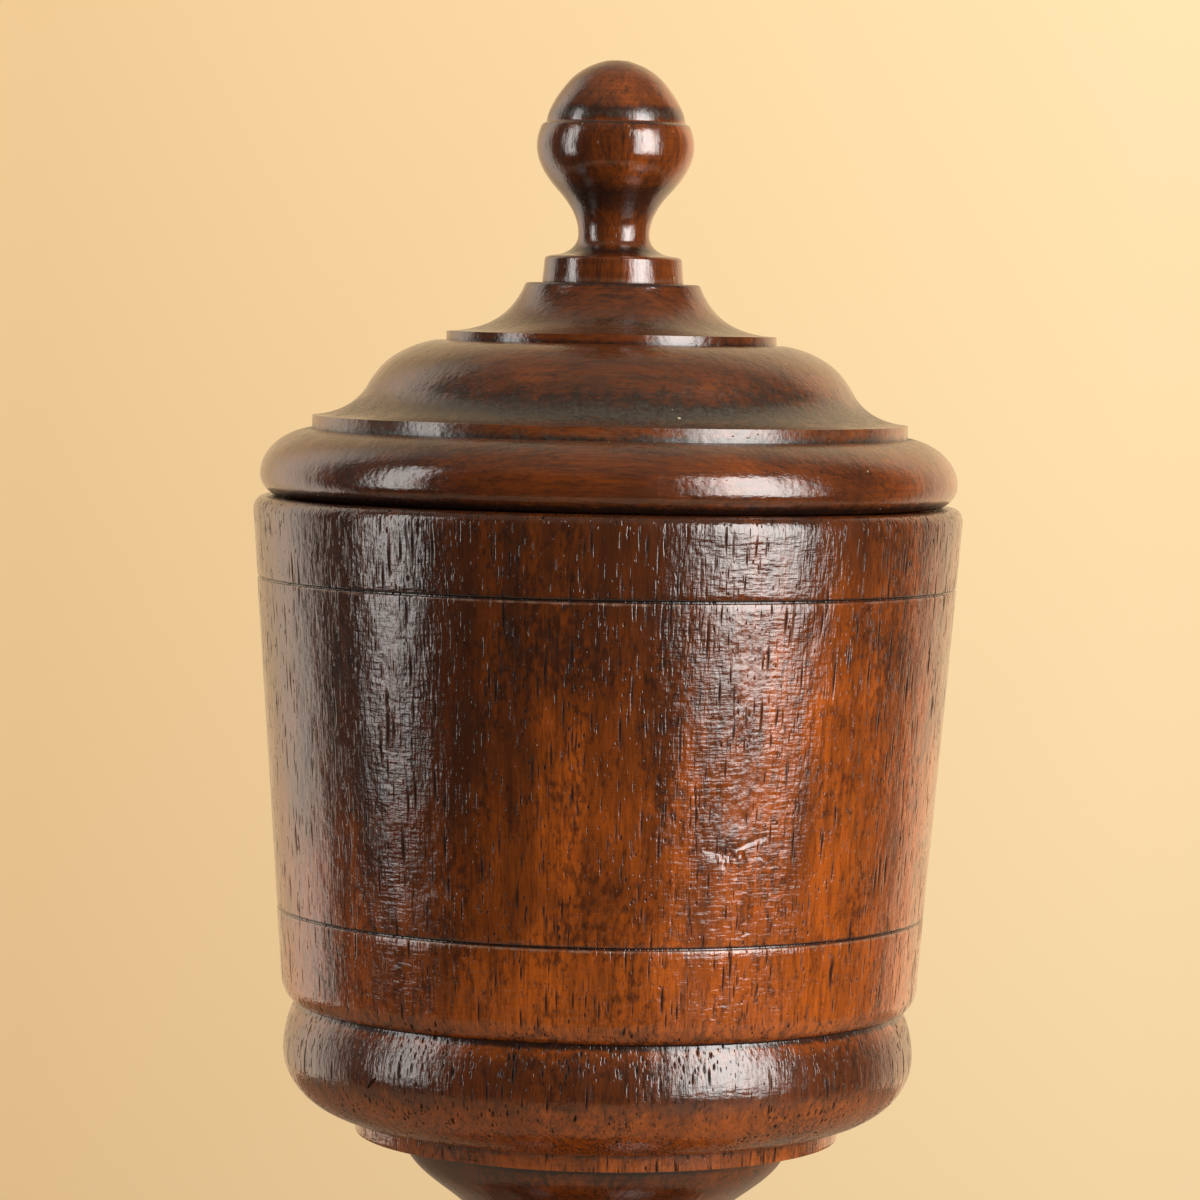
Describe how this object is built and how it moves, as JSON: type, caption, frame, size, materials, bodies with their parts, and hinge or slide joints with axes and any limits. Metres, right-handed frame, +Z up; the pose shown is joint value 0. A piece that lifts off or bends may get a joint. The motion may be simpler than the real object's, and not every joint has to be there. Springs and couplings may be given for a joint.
{
  "type": "turned wood lidded urn",
  "caption": "Lathe-turned hardwood urn: tapered hollow bowl on a spreading foot, under a lift-off moulded lid with an acorn finial.",
  "frame": {"origin": "centre of the foot's underside, on the surface that the urn stands on", "axes": "+Z up along the turning axis, from the foot to the finial"},
  "size_m": [0.1656, 0.1656, 0.345],
  "materials": {
    "foot_wood": "old french polish over dark red-brown hardwood",
    "bowl_wood": "worn glossy french polish, open pores, upright grain",
    "lid_wood": "glossy french polish with dust in the mouldings, flat grain",
    "finial_wood": "glossy french polish, darkened by handling, upright grain"
  },
  "bodies": {
    "root": {"foot": "foot_wood", "bowl": "bowl_wood", "lid": "lid_wood", "finial": "finial_wood"}
  },
  "joints": []
}
